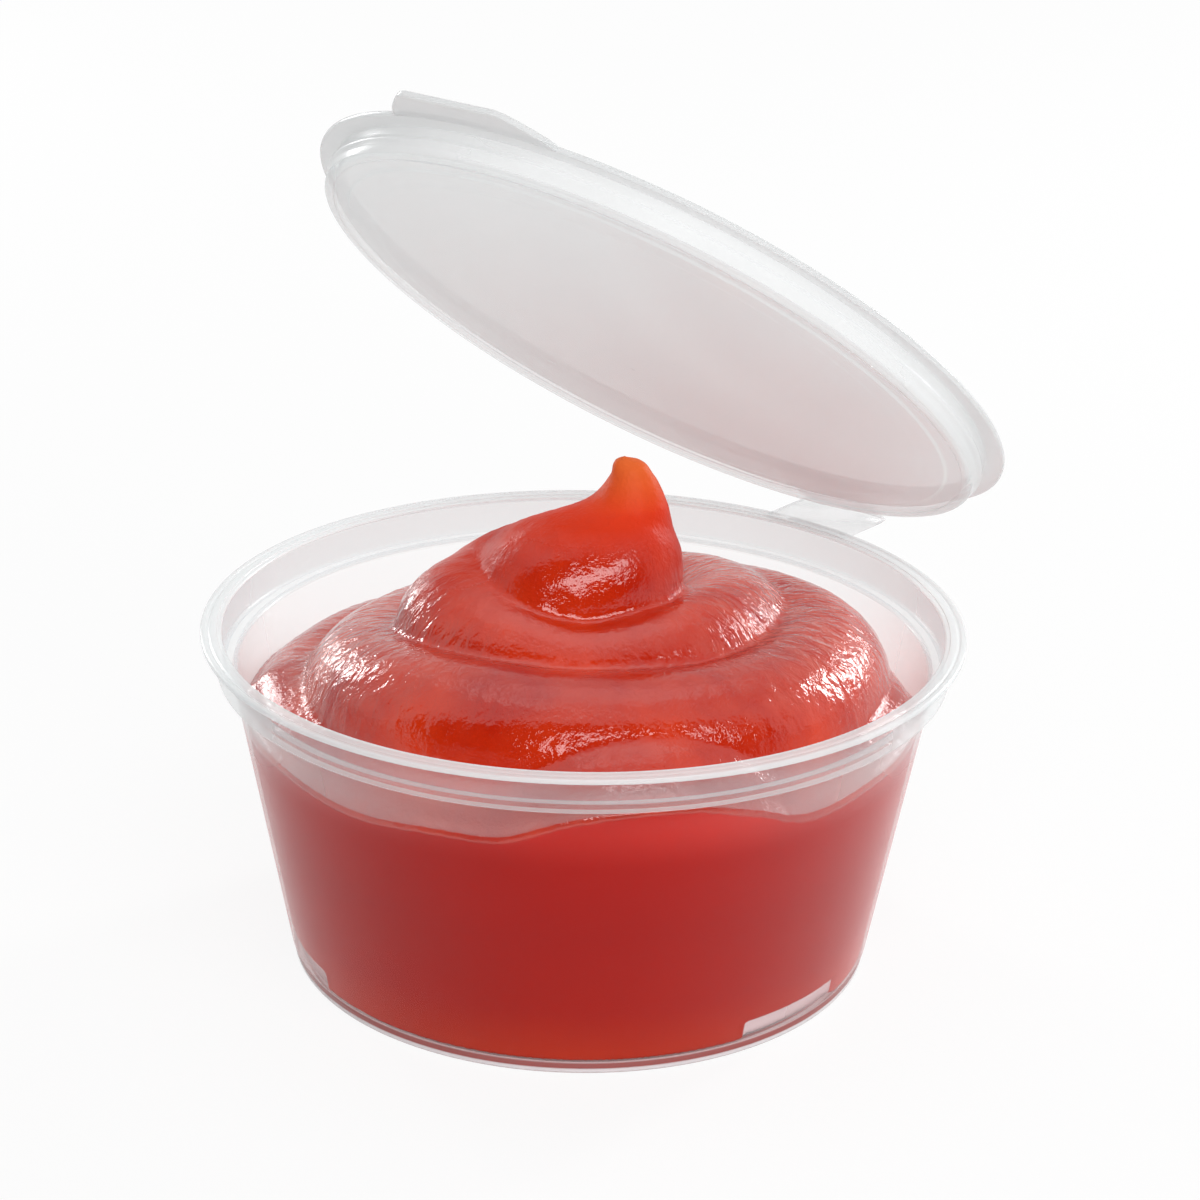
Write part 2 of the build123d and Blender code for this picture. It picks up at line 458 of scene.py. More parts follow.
@dataclass(frozen=True)
class WetSauce:
    """Tomato sauce: smooth and wet in front, finely folded on its shoulders, flat on the wall.

    The piece's attributes say where it is pressed to the wall and where it stands behind a pocket
    of air. Spans and the gap are in millimetres, heights of relief in metres.
    """

    name: str
    deep: Colour = (0.42, 0.007, 0.002)
    bright: Colour = (0.68, 0.04, 0.006)
    pale: Colour = (0.68, 0.13, 0.08)
    # Painted light: warm and thin paint the glow of light shining through the thin peak.
    warm: Colour = (0.74, 0.045, 0.011)
    thin: Colour = (0.84, 0.17, 0.035)
    # Painted reflection: the pale shine where the sauce stands behind a pocket of air.
    painted_pocket_reflection: Colour = (0.95, 0.78, 0.8)
    pressed_shade: Colour = (0.36, 0.013, 0.01)
    # Painted light: the pressed sauce is lighter and more orange at its top and at its bottom.
    pressed_bands: tuple[tuple[float, Colour], ...] = (
        (0.0, (0.6, 0.044, 0.014)), (0.2, (0.46, 0.018, 0.01)), (0.5, (0.42, 0.014, 0.01)),
        (0.78, (0.46, 0.012, 0.008)), (0.9, (0.62, 0.016, 0.007)),
    )
    pressed_span: Span = (1.0, 24.5)
    warm_span: Span = (35.5, 39.0)
    thin_span: Span = (38.6, 43.2)
    peak_span: Span = (31.0, 34.5)
    wall_span: Span = (22.5, 24.5)
    flank_span: Span = (31.5, 34.5)
    tip_span: Span = (36.0, 38.0)
    free_gap: Span = (0.26, 0.34)
    air_edge: Span = (0.4, 0.6)
    smooth_bearing_deg: float = -50.0
    gloss: Span = (0.6, 0.09)
    roughness: Span = (0.02, 0.11)
    dry_roughness: float = 0.4
    fold_height: float = 0.00045
    wave_height: float = 0.00008
    pulp_height: float = 0.000014

    def free_colour(self, bench: NodeBench, height: Socket, shoulder: Socket) -> Socket:
        """The colour in the open.

        Args:
            bench: The material's nodes.
            height: The place along Z.
            shoulder: 1 on the shoulders of the rounds, which are paler.

        Returns:
            Clouds of deep and bright red, paler on the shoulders, and a painted orange glow in the
            thin peak.
        """
        clouds = bench.spread(bench.noise(scale=110.0, detail=4.0), span=(0.3, 0.7))
        body = bench.mix(clouds, self.deep, self.bright)
        flecks = bench.spread(bench.noise(scale=500.0), (0.0, 0.6), (0.35, 0.8))
        body = bench.mix(bench.times(shoulder, flecks), body, self.pale)
        # Painted light: the glow through the thin peak, warm and then orange toward the tip.
        body = bench.mix(bench.over(height, self.warm_span), body, self.warm)
        return bench.mix(bench.over(height, self.thin_span), body, self.thin)

    def pressed_colour(self, bench: NodeBench, height: Socket) -> Socket:
        """The colour against the wall: deep red at mid height, painted lighter and more orange at
        top and bottom.
        """
        body = bench.colour_bands(bench.over(height, self.pressed_span), self.pressed_bands)
        clouds = bench.spread(bench.noise(scale=45.0), (0.0, 0.5), (0.4, 0.75))
        return bench.mix(clouds, body, self.pressed_shade)

    def away_from_front(self, bench: NodeBench, place: Sockets) -> Socket:
        """0 on the smooth, wet front of the swirl and 1 round its sides and back."""
        front = bench.calc("SUBTRACT", place["turned"], math.radians(self.smooth_bearing_deg))
        cosine = bench.calc("COSINE", front, 0.0)
        return bench.spread(cosine, (1.0, 0.06), (0.4, 0.95))

    def shoulders(self, bench: NodeBench, place: Sockets) -> Socket:
        """Where the rope is finely folded: not in front, on the peak or at the wall."""
        under_peak = bench.over(place["Z"], self.peak_span, (1.0, 0.1))
        inside = bench.over(place["reach"], self.wall_span, (1.0, 0.2))
        return bench.times(bench.times(self.away_from_front(bench, place), under_peak), inside)

    def matte_share(self, bench: NodeBench, place: Sockets) -> Socket:
        """1 on the peak's flank and tip, which have a drier skin than the rest."""
        raised = bench.over(place["Z"], self.flank_span)
        flank = bench.times(self.away_from_front(bench, place), raised)
        return bench.calc("MAXIMUM", flank, bench.over(place["Z"], self.tip_span))

    def folds(self, bench: NodeBench, place: Sockets) -> Socket:
        """The height of the fine folds, which run more across the rope than along it."""
        across = bench.add("CombineXYZ")
        scales = {"turned": 15.0, "reach": 420.0, "Z": 420.0}
        for socket, (name, scale) in zip(across.inputs, scales.items()):
            bench.join(bench.times(place[name], scale), socket)
        streaks = bench.add("TexNoise", Scale=1.0, Detail=3.0, Roughness=0.5, Distortion=0.7)
        bench.join(across.outputs[0], streaks.inputs["Vector"])
        return streaks.outputs["Fac"]

    def build(self) -> Material:
        """Makes the sauce's material."""
        bench = NodeBench(bpy.data.materials.new(self.name))
        place = bench.place_on_piece()
        gap = bench.add("Attribute", attribute_name="wall_gap").outputs["Fac"]
        air = bench.add("Attribute", attribute_name="air_pocket").outputs["Fac"]
        free = bench.spread(gap, span=self.free_gap)
        shoulder = self.shoulders(bench, place)
        pressed = self.pressed_colour(bench, place["Z"])
        colour = bench.mix(free, pressed, self.free_colour(bench, place["Z"], shoulder))
        # Painted reflection on the sauce behind the pockets of air.
        colour = bench.mix(bench.spread(air, span=self.air_edge), colour, self.painted_pocket_reflection)
        matte = self.matte_share(bench, place)
        gloss = bench.times(free, bench.spread(matte, self.gloss))
        pulp = bench.noise(scale=2400.0, rough=0.6)
        drier = bench.spread(matte, (0.0, self.dry_roughness))
        rough = bench.calc("ADD", bench.spread(pulp, self.roughness), drier)
        folds = bench.times(self.folds(bench, place), bench.times(shoulder, free))
        relief = bench.bump(folds, self.fold_height)
        waves = bench.times(bench.noise(scale=1200.0, rough=0.6), free)
        relief = bench.bump(waves, self.wave_height, below=relief)
        relief = bench.bump(bench.times(pulp, free), self.pulp_height, below=relief)
        bench.shade(Base_Color=colour, Specular_IOR_Level=gloss, Roughness=rough, Normal=relief)
        return bench.owner


@dataclass
class CupShell:
    """The moulded cup: foot ring, tapered wall, stepped collar and flat rim.

    The wet plastic, with the sauce's light painted into it, is on the outside of the wall and foot,
    over the sauce, and the inside plastic, a darker, bluer copy painted to hide the sauce's red
    light, is on the inside, above the sauce.
    """

    plastic: Material
    wet_plastic: Material
    inside_plastic: Material
    rim_radius: float = 31.0
    height: float = 28.5
    wall: float = 0.5
    flange_thickness: float = 0.5
    collar_radius: float = 29.78
    collar_bottom: float = 25.06
    body_top_radius: float = 28.59
    base_radius: float = 24.15
    foot_radius: float = 23.9
    foot_height: float = 1.3
    foot_width: float = 0.9
    floor_rise: float = 0.6
    groove_radius: float = 30.4
    groove_half_width: float = 0.175
    groove_depth: float = 0.12
    land_drop: float = 0.12
    land_width: float = 0.4
    wet_margin: float = 0.2
    floor_margin: float = 0.1
    inside_from: float = 15.0
    inside_margin: float = 0.3

    def section(self) -> list[Corner]:
        """The cup's turned section, from under the floor, round the outside and in again."""
        rim = self.height
        collar_inner = self.collar_radius - self.wall
        ledge = self.collar_bottom + self.wall
        underside = rim - self.flange_thickness
        groove_out = self.groove_radius + self.groove_half_width
        groove_in = self.groove_radius - self.groove_half_width
        foot_inner = self.foot_radius - self.foot_width
        foot_step = self.foot_height - (self.base_radius - self.foot_radius)
        land_edge = collar_inner + self.land_width
        return [
            Corner(0, self.floor_rise),
            Corner(foot_inner, self.floor_rise, 0.25),
            Corner(foot_inner, 0, 0.15),
            Corner(self.foot_radius, 0, 0.3),
            Corner(self.foot_radius, foot_step, 0.1),
            Corner(self.base_radius, self.foot_height, 0.15),
            Corner(self.body_top_radius, self.collar_bottom, 0.3),
            Corner(self.collar_radius, self.collar_bottom, 0.3),
            Corner(self.collar_radius, underside, 0.3),
            Corner(self.rim_radius, underside, 0.18),
            Corner(self.rim_radius, rim, 0.2),
            Corner(groove_out, rim, 0.06),
            Corner(self.groove_radius, rim - self.groove_depth, 0.06),
            Corner(groove_in, rim, 0.06),
            Corner(land_edge, rim, 0.05),
            Corner(land_edge, rim - self.land_drop, 0.04),
            Corner(collar_inner, rim - self.land_drop, 0.15),
            Corner(collar_inner, ledge, 0.3),
            Corner(self.body_top_radius - self.wall, ledge, 0.3),
            Corner(self.base_radius - self.wall, self.floor_rise + self.wall, 0.4),
            Corner(0, self.floor_rise + self.wall),
        ]

    def inside_radius(self, level: float) -> float:
        """The radius of the inside of the tapered wall at a height."""
        floor = self.floor_rise + self.wall
        share = (level - floor) / (self.collar_bottom + self.wall - floor)
        bottom = self.base_radius - self.wall
        return bottom + share * (self.body_top_radius - self.base_radius)

    def build(self) -> Piece:
        """Makes the cup's shell.

        Returns:
            The finished piece.
        """
        shape = turned_section(self.section())
        wet_top = self.collar_bottom - self.wet_margin
        under_floor = self.floor_rise + self.floor_margin
        inside_top = self.height - self.land_drop - self.inside_margin
        for face in shape.faces:
            middle = face.calc_center_median()
            outside = math.hypot(middle.x, middle.y) > self.inside_radius(middle.z) + self.wall / 2
            if middle.z < wet_top and (outside or middle.z < under_floor):
                face.material_index = WET_FACE
            inward = face.normal.x * middle.x + face.normal.y * middle.y < 0
            if inward and self.inside_from < middle.z < inside_top:
                face.material_index = INSIDE_FACE
        shell = finished_piece(shape, "cup_shell")
        dress(shell, Slot.CUP, self.plastic, self.wet_plastic, self.inside_plastic)
        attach(shell, Body.CUP.value)
        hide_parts("cup")
        return shell


@dataclass
class LidShell:
    """The lid: a flange, the plug that enters the collar, and a sunk panel, with its thumb tab.

    The panel plastic, painted bluer against the sauce's red light, is on the panel face over the
    sauce.
    """

    plastic: Material
    panel_plastic: Material
    radius: float = 30.3
    flange_thickness: float = 0.5
    wall: float = 0.5
    plug_radius: float = 28.8
    plug_depth: float = 2.5
    plug_taper: float = 0.15
    bead: float = 0.28
    bead_place: float = 1.15
    bead_height: float = 0.8
    ring_width: float = 0.8
    groove_width: float = 1.5
    groove_depth: float = 0.2
    faint_ring_radius: float = 24.2
    faint_ring_step: float = 0.05
    faint_ring_slope: float = 0.3
    tab_reach: float = 2.9
    tab_root_width: float = 16.0
    tab_tip_width: float = 11.0
    tab_corner: float = 1.1
    tab_overlap: float = 0.15
    tab_bevel: float = 0.18

    def place(self) -> Matrix:
        """Where the lid's own plane lies: the centre of its flange's inner face, Z outward."""
        crease = joint_place("lid_close")
        turn = Matrix.Rotation(-math.radians(REST_OPEN_DEG), 4, "X")
        centre = crease + turn @ Vector((0, -crease.y, -FILM_DEPTH))
        return Matrix.Translation(centre) @ turn

    def section(self) -> list[Corner]:
        """The lid's turned section, from the panel's inner face out to the flange and back."""
        plug = self.plug_radius
        plug_end = plug - self.plug_taper
        groove_outer = plug_end - self.ring_width
        groove_inner = groove_outer - self.groove_width
        face = -self.plug_depth
        groove_face = face + self.groove_depth
        back = groove_face + self.wall
        return [
            Corner(0, face - self.faint_ring_step),
            Corner(self.faint_ring_radius, face - self.faint_ring_step, 0.1),
            Corner(self.faint_ring_radius + self.faint_ring_slope, face, 0.1),
            Corner(groove_inner, face, 0.08),
            Corner(groove_inner + self.groove_depth, groove_face, 0.08),
            Corner(groove_outer, groove_face, 0.08),
            Corner(groove_outer, face, 0.08),
            Corner(plug_end, face, 0.35),
            Corner(plug, -self.bead_place - self.bead_height / 2, 0.15),
            Corner(plug + self.bead, -self.bead_place, 0.2),
            Corner(plug, -self.bead_place + self.bead_height / 2, 0.15),
            Corner(plug, 0, 0.15),
            Corner(self.radius, 0, 0.18),
            Corner(self.radius, self.flange_thickness, 0.2),
            Corner(plug - self.wall, self.flange_thickness, 0.3),
            Corner(plug_end - self.wall, back, 0.4),
            Corner(0, back),
        ]

    def build(self) -> Piece:
        """Makes the lid's shell.

        Returns:
            The finished piece.
        """
        shape = turned_section(self.section())
        for face in shape.faces:
            looks_down = face.normal.z < -0.5
            if looks_down and face.calc_center_median().z < -self.plug_depth + self.wall / 2:
                face.material_index = PANEL_FACE
        shell = finished_piece(shape, "lid_shell", self.place())
        dress(shell, Slot.LID, self.plastic, self.panel_plastic)
        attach(shell, Body.LID.value)
        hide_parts("lid")
        return shell

    def build_tab(self) -> Piece:
        """Makes the thumb tab that stands out from the flange, opposite the hinge.

        Returns:
            The finished piece.
        """
        shape = bmesh.new()
        bmesh.ops.create_grid(shape, x_segments=28, y_segments=12, size=0.5)
        for vert in shape.verts:
            reach = 0.5 - vert.co.y
            flare = (1 - smoothstep(0.0, 1.0, reach)) * (self.tab_root_width - self.tab_tip_width)
            into = max(0.0, 1 - (1 - reach) * self.tab_reach / self.tab_corner)
            width = self.tab_tip_width + flare
            width -= 2 * self.tab_corner * (1 - math.sqrt(1 - into * into))
            along = vert.co.x * width
            root = -math.sqrt(self.radius**2 - along**2) + self.tab_overlap
            tip = -self.radius - self.tab_reach
            vert.co = Vector((along, root + reach * (tip - root), 0.0))
        thicken(shape, (0, 0, self.flange_thickness))
        sharp = [edge for edge in shape.edges if edge.calc_face_angle(0.0) > SHARP_ANGLE]
        bmesh.ops.bevel(
            shape, geom=sharp, offset=self.tab_bevel, offset_type="OFFSET", segments=3,
            profile=0.5, affect="EDGES", material=-1, clamp_overlap=True,
        )
        tab = finished_piece(shape, "lift_tab", self.place())
        dress(tab, Slot.LID, self.plastic)
        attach(tab, Body.LID.value)
        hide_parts("thumb_tab")
        return tab


@dataclass
class HingeStrap:
    """The strap between cup and lid: a stiff leaf on each side and a thin film between them, where
    the real strap folds.

    A leaf thins to the film along a bevel, whose ends are given from the crease.
    """

    plastic: Material
    width: float = 8.25
    leaf_thickness: float = 0.45
    film_thickness: float = 0.25
    cup_reach: float = 6.3
    lid_reach: float = 6.2
    cup_bevel_under: Span = (0.5, 0.25)
    cup_bevel_top: Span = (0.85, 0.5)
    cup_bevel_rise: float = 0.1
    cup_film_inner: Span = (-0.14, 0.055)
    cup_arc_deg: tuple[float, ...] = (0, 30, 60, 90, 115, 139)
    cup_crease_deg: float = 69.5
    cup_crease_half: float = 0.05
    lid_bevel: Span = (-0.35, 0.1)
    lid_crease_half: float = 0.12

    def side_strip(self, outline: list[tuple[float, float]]) -> BMesh:
        """Makes a strip as wide as the strap from its side view.

        Args:
            outline: The side view's corners, as distance along Y and height along Z.

        Returns:
            The closed strip.
        """
        strip = bmesh.new()
        strip.faces.new([strip.verts.new((-self.width / 2, y, z)) for y, z in outline])
        thicken(strip, (self.width, 0, 0), use_keep_orig=True)
        return strip

    def build_cup_side(self) -> Piece:
        """Makes the cup's leaf and the half of the film that leaves it."""
        fold, crease = joint_place("lid_open"), joint_place("lid_close")
        half = self.film_thickness / 2
        along = (crease - fold).normalized()
        outward = Vector((0, along.z, -along.y))
        middle = (fold + crease) / 2
        top = fold.z + FILM_DEPTH
        under = top - self.leaf_thickness
        root = fold.y - self.cup_reach
        under_start, under_end = (fold.y - gap for gap in self.cup_bevel_under)
        top_start, top_end = (fold.y - gap for gap in self.cup_bevel_top)
        arc = [
            fold + Matrix.Rotation(math.radians(step), 3, "X") @ Vector((0, 0, -half))
            for step in self.cup_arc_deg
        ]
        film = [*arc, middle + outward * half, middle - outward * half]
        film.append(fold + Vector((0, *self.cup_film_inner)))
        outline = [(root, under), (under_start, under), (under_end, fold.z - half)]
        outline += [(point.y, point.z) for point in film]
        outline += [(top_end, fold.z + self.cup_bevel_rise), (top_start, top), (root, top)]
        piece = finished_piece(self.side_strip(outline), "strap_cup_side")
        dress(piece, Slot.CUP, self.plastic)
        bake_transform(piece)
        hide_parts("cup_hinge_leaf", "hinge_film")
        return piece

    def build_lid_side(self) -> Piece:
        """Makes the other half of the film and the lid's leaf."""
        fold, crease = joint_place("lid_open"), joint_place("lid_close")
        half = self.film_thickness / 2
        length = (crease - fold).length / 2
        inner = -FILM_DEPTH
        outer = inner + self.leaf_thickness
        leaf_end, film_end = self.lid_bevel
        outline = [
            (length, -half), (film_end, -half), (leaf_end, inner), (-self.lid_reach, inner),
            (-self.lid_reach, outer), (leaf_end, outer), (film_end, half), (length, half),
        ]
        turn = Matrix.Rotation(-math.radians(REST_OPEN_DEG), 4, "X")
        place = Matrix.Translation(crease) @ turn
        piece = finished_piece(self.side_strip(outline), "strap_lid_side", place)
        dress(piece, Slot.LID, self.plastic)
        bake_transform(piece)
        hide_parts("lid_hinge_leaf")
        return piece


@dataclass
class Sauce:
    """The sauce: a rope piped in rounds into the cup and up to a peak, merged where it touches.

    Places along the rope are given round the cup's axis from the photographed side: a bearing of 0
    is to the right, -90 is in front. A round's rows hold bearing, reach, height and thickness, and
    the peak's hold side, back, height and thickness. The part over the fill level is a piece of its
    own.
    """

    cup: CupShell
    finish: Material
    level: float = 24.5
    wetting: float = 0.22
    floor_gap: float = 0.06
    bed_top: float = 20.0
    core_height: float = 24.0
    core_depth: float = 11.0
    core_radii: Span = (21.0, 7.0)
    voxel: float = 0.33
    soften_rounds: int = 5
    ball_spacing: float = 1.2
    press_start: float = 0.3
    press_end: float = 0.9
    open_gap: float = 9.0
    pocket_depth: float = 0.5
    pocket_top: Span = (2.4, 2.9)
    pocket_end: Span = (0.8, 1.0)
    air_pockets: tuple[Span, ...] = ((-58.0, -30.0), (-173.0, -147.0))
    bottom_round: Rows = (
        (-180, 23.4, 19.9, 4.3), (-150, 22.6, 19.2, 5.1), (-120, 21.6, 18.8, 6.0),
        (-100, 21.6, 19.6, 6.0), (-88, 22.0, 21.6, 6.0), (-76, 22.2, 22.0, 6.0),
        (-66, 22.0, 21.4, 5.9), (-56, 21.6, 19.9, 5.9), (-30, 21.6, 19.4, 6.0),
        (0, 21.6, 19.2, 6.0), (45, 21.4, 18.6, 6.0), (90, 21.4, 18.4, 6.0),
        (135, 22.6, 18.9, 4.9), (160, 23.4, 19.5, 4.2), (180, 23.4, 19.9, 4.3),
    )
    upper_rounds: Rows = (
        (80, 17.3, 20.8, 3.7), (60, 17.5, 21.6, 6.0), (30, 18.2, 22.3, 6.6),
        (0, 18.6, 22.9, 6.7), (-45, 18.4, 23.6, 6.9), (-90, 17.6, 24.0, 6.9),
        (-135, 17.4, 23.6, 6.8), (-180, 16.4, 21.8, 6.6), (-225, 16.2, 20.8, 6.4),
        (-270, 16.0, 21.4, 6.4), (-305, 15.2, 23.2, 6.2), (-340, 12.6, 25.4, 5.8),
        (-375, 10.4, 27.0, 5.4), (-410, 9.8, 27.1, 5.3), (-450, 9.7, 26.6, 5.2),
        (-485, 10.0, 27.3, 5.6), (-520, 10.0, 28.1, 6.0), (-550, 7.3, 28.2, 6.15),
    )
    peak: Rows = (
        (-5.3, 0.9, 29.4, 6.4), (-3.4, 0.2, 30.2, 6.6), (-1.9, -1.8, 30.9, 7.2),
        (1.5, -1.2, 32.6, 6.5), (2.8, -0.3, 35.3, 4.5), (3.5, 0.0, 37.4, 3.35),
        (3.7, 0.1, 39.3, 2.4), (3.65, 0.0, 40.7, 1.7), (3.0, 0.0, 41.6, 1.0),
    )

    def at(self, turn_deg: float, reach: float, level: float) -> Vector:
        """A place by its bearing from the photographed side, its reach from the axis and height."""
        bearing = math.radians(turn_deg + PHOTO_BEARING_DEG)
        return Vector((reach * math.cos(bearing), reach * math.sin(bearing), level))

    def ropes(self) -> tuple[list[Station], list[Station]]:
        """The ropes that are piped into the cup.

        Returns:
            The lowest visible round, which lies against the wall and bulges in front, and the two
            rounds over it, wound inward, with the peak that they end in.
        """
        lower, upper = (
            [Station(self.at(turn, reach, level), thick) for turn, reach, level, thick in rows]
            for rows in (self.bottom_round, self.upper_rounds)
        )
        for side, back, level, thick in self.peak:
            upper.append(Station(self.at(0, side, level) + self.at(90, back, 0), thick))
        return lower, upper

    def balls_along(self, rope: list[Station]) -> list[Station]:
        """Evenly spaced places along the smooth line through a rope's stations.

        Args:
            rope: The rope's stations in order.

        Returns:
            The places, each with its thickness.
        """
        made = []
        last = len(rope) - 1
        for index in range(last):
            near = [rope[min(max(index + shift, 0), last)] for shift in (-1, 0, 1, 2)]
            gap = (near[2].place - near[1].place).length
            steps = max(1, round(gap / self.ball_spacing))
            for step in range(steps):
                share = step / steps
                weights = (
                    -share / 2 + share**2 - share**3 / 2,
                    1 - 2.5 * share**2 + 1.5 * share**3,
                    share / 2 + 2 * share**2 - 1.5 * share**3,
                    share**3 / 2 - share**2 / 2,
                )
                place = sum((s.place * w for s, w in zip(near, weights)), Vector())
                thick = sum(s.thickness * w for s, w in zip(near, weights))
                made.append(Station(place, thick))
        made.append(rope[-1])
        return made

    def whole_mass(self) -> Piece:
        """Merges the rope's rounds, the sauce under them and the middle into one mass."""
        floor = self.cup.floor_rise + self.cup.wall + self.floor_gap
        top = self.bed_top
        low, high = (self.cup.inside_radius(level) + self.wetting for level in (floor, top))
        bed = [Corner(0, floor), Corner(low, floor, 0.3), Corner(high, top, 1.0), Corner(0, top)]
        shape = turned_section(bed)
        for rope in self.ropes():
            for ball in self.balls_along(rope):
                bmesh.ops.create_icosphere(
                    shape, subdivisions=3, radius=ball.thickness,
                    matrix=Matrix.Translation(ball.place),
                )
        wide, narrow = self.core_radii
        bmesh.ops.create_cone(
            shape, cap_ends=True, segments=48, radius1=wide, radius2=narrow,
            depth=self.core_depth, matrix=Matrix.Translation((0, 0, self.core_height)),
        )
        mass = finished_piece(shape, "sauce_mass")
        remesh = mass.modifiers.new("merge", "REMESH")
        remesh.mode = "VOXEL"
        remesh.voxel_size = self.voxel * MM
        soften = mass.modifiers.new("soften", "SMOOTH")
        soften.iterations = self.soften_rounds
        graph = bpy.context.evaluated_depsgraph_get()
        merged = bpy.data.meshes.new_from_object(mass.evaluated_get(graph))
        mass.modifiers.clear()
        mass.data = merged
        merged.shade_smooth()
        return mass

    def pocket_share(self, bearing_deg: float, level: float) -> float:
        """How far a place on the wall lies inside a pocket of air, from 0 to 1."""
        share = 0.0
        for start, end in self.air_pockets:
            middle, half = (start + end) / 2, (end - start) / 2
            along = 1 - smoothstep(*self.pocket_end, abs(bearing_deg - middle) / half)
            share = max(share, along * (1 - smoothstep(*self.pocket_top, level)))
        return share

    def press_to_wall(self, mass: Piece) -> None:
        """Flattens the mass against the cup's wall, which it wets, but for the pockets of air.

        Args:
            mass: The merged mass. It gets the attributes wall_gap, in millimetres, and
                air_pocket, from 0 to 1, which its material reads.
        """
        gaps = mass.data.attributes.new("wall_gap", "FLOAT", "POINT")
        pockets = mass.data.attributes.new("air_pocket", "FLOAT", "POINT")
        for index, vert in enumerate(mass.data.vertices):
            x, y, z = vert.co / MM
            reach = math.hypot(x, y)
            wall = self.cup.inside_radius(z) + self.wetting
            gap = max(0.0, wall - reach)
            gaps.data[index].value = gap if z < self.level else self.open_gap
            if z < self.level and gap < self.press_end:
                bearing = (math.degrees(math.atan2(y, x)) - PHOTO_BEARING_DEG + 180) % 360 - 180
                air = self.pocket_share(bearing, z)
                pockets.data[index].value = air
                kept = gap * smoothstep(self.press_start, self.press_end, gap)
                wall -= kept + self.pocket_depth * air
                vert.co.x *= wall / reach
                vert.co.y *= wall / reach

    def part_of(self, mass: Piece, name: str, above: bool) -> Piece:
        """Cuts the mass at the fill level and keeps one side of it, closed by a flat face.

        Args:
            mass: The merged mass.
            name: The piece's name.
            above: True to keep what is over the level.

        Returns:
            The finished piece.
        """
        cut = bmesh.new()
        cut.from_mesh(mass.data)
        made = bmesh.ops.bisect_plane(
            cut, geom=cut.verts[:] + cut.edges[:] + cut.faces[:],
            plane_co=(0, 0, self.level * MM), plane_no=(0, 0, -1 if above else 1),
            clear_outer=True,
        )
        rim = [part for part in made["geom_cut"] if isinstance(part, bmesh.types.BMEdge)]
        bmesh.ops.holes_fill(cut, edges=rim, sides=0)
        for edge in rim:
            edge.smooth = False
        mesh = bpy.data.meshes.new(name)
        cut.to_mesh(mesh)
        cut.free()
        piece = in_scene(name, mesh)
        dress(piece, Slot.SAUCE, self.finish)
        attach(piece, Body.CUP.value)
        return piece

    def build(self) -> list[Piece]:
        """Makes the fill and the swirl.

        Returns:
            The two finished pieces.
        """
        mass = self.whole_mass()
        self.press_to_wall(mass)
        fill = self.part_of(mass, "sauce_in_cup", above=False)
        swirl = self.part_of(mass, "sauce_rope", above=True)
        bpy.data.objects.remove(mass)
        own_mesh(swirl)
        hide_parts("sauce_fill")
        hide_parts("sauce_swirl")
        return [fill, swirl]


@dataclass(frozen=True)
class PhotoCamera:
    """The camera of the photograph, in millimetres round the cup's axis."""

    elevation_deg: float = 24.89
    distance: float = 275.0
    pivot_height: float = 14.0
    aim_side: float = 1.28
    aim_height: float = 30.19
    roll_deg: float = 1.01
    focal_px: float = 3313.0
    image_px: float = 1200.0
    sensor: float = 36.0

    def build(self) -> None:
        """Makes the camera and sets it as the scene's."""
        eye = direction(PHOTO_BEARING_DEG, self.elevation_deg) * self.distance
        eye.z += self.pivot_height
        turn = Matrix.Rotation(math.radians(PHOTO_BEARING_DEG), 3, "Z")
        aim = turn @ Vector((self.aim_side, 0, self.aim_height))
        ahead = (aim - eye).normalized()
        level_right = ahead.cross(Vector((0, 0, 1))).normalized()
        level_up = level_right.cross(ahead)
        roll = math.radians(self.roll_deg)
        right = level_right * math.cos(roll) + level_up * math.sin(roll)
        up = level_up * math.cos(roll) - level_right * math.sin(roll)
        data = bpy.data.cameras.new("camera")
        data.sensor_width = self.sensor
        data.lens = self.focal_px * self.sensor / self.image_px
        data.clip_start = 0.01
        camera = in_scene("camera", data)
        stand = Matrix((right, up, -ahead)).transposed().to_4x4()
        stand.translation = eye * MM
        camera.matrix_world = stand
        bpy.context.scene.camera = camera


@dataclass(frozen=True)
class SoftBox:
    """A rectangular studio lamp that looks at the cup, in metres."""

    name: str
    bearing_deg: float
    elevation_deg: float
    width: float
    height: float
    power: float
    distance: float = 0.45
    aim_height: float = 0.03

    def build(self) -> None:
        """Makes the lamp."""
        data = bpy.data.lights.new(self.name, "AREA")
        data.shape = "RECTANGLE"
        data.size = self.width
        data.size_y = self.height
        data.energy = self.power
        lamp = in_scene(self.name, data)
        away = direction(self.bearing_deg, self.elevation_deg)
        lamp.location = Vector((0, 0, self.aim_height)) + away * self.distance
        lamp.rotation_euler = away.to_track_quat("Z", "Y").to_euler()


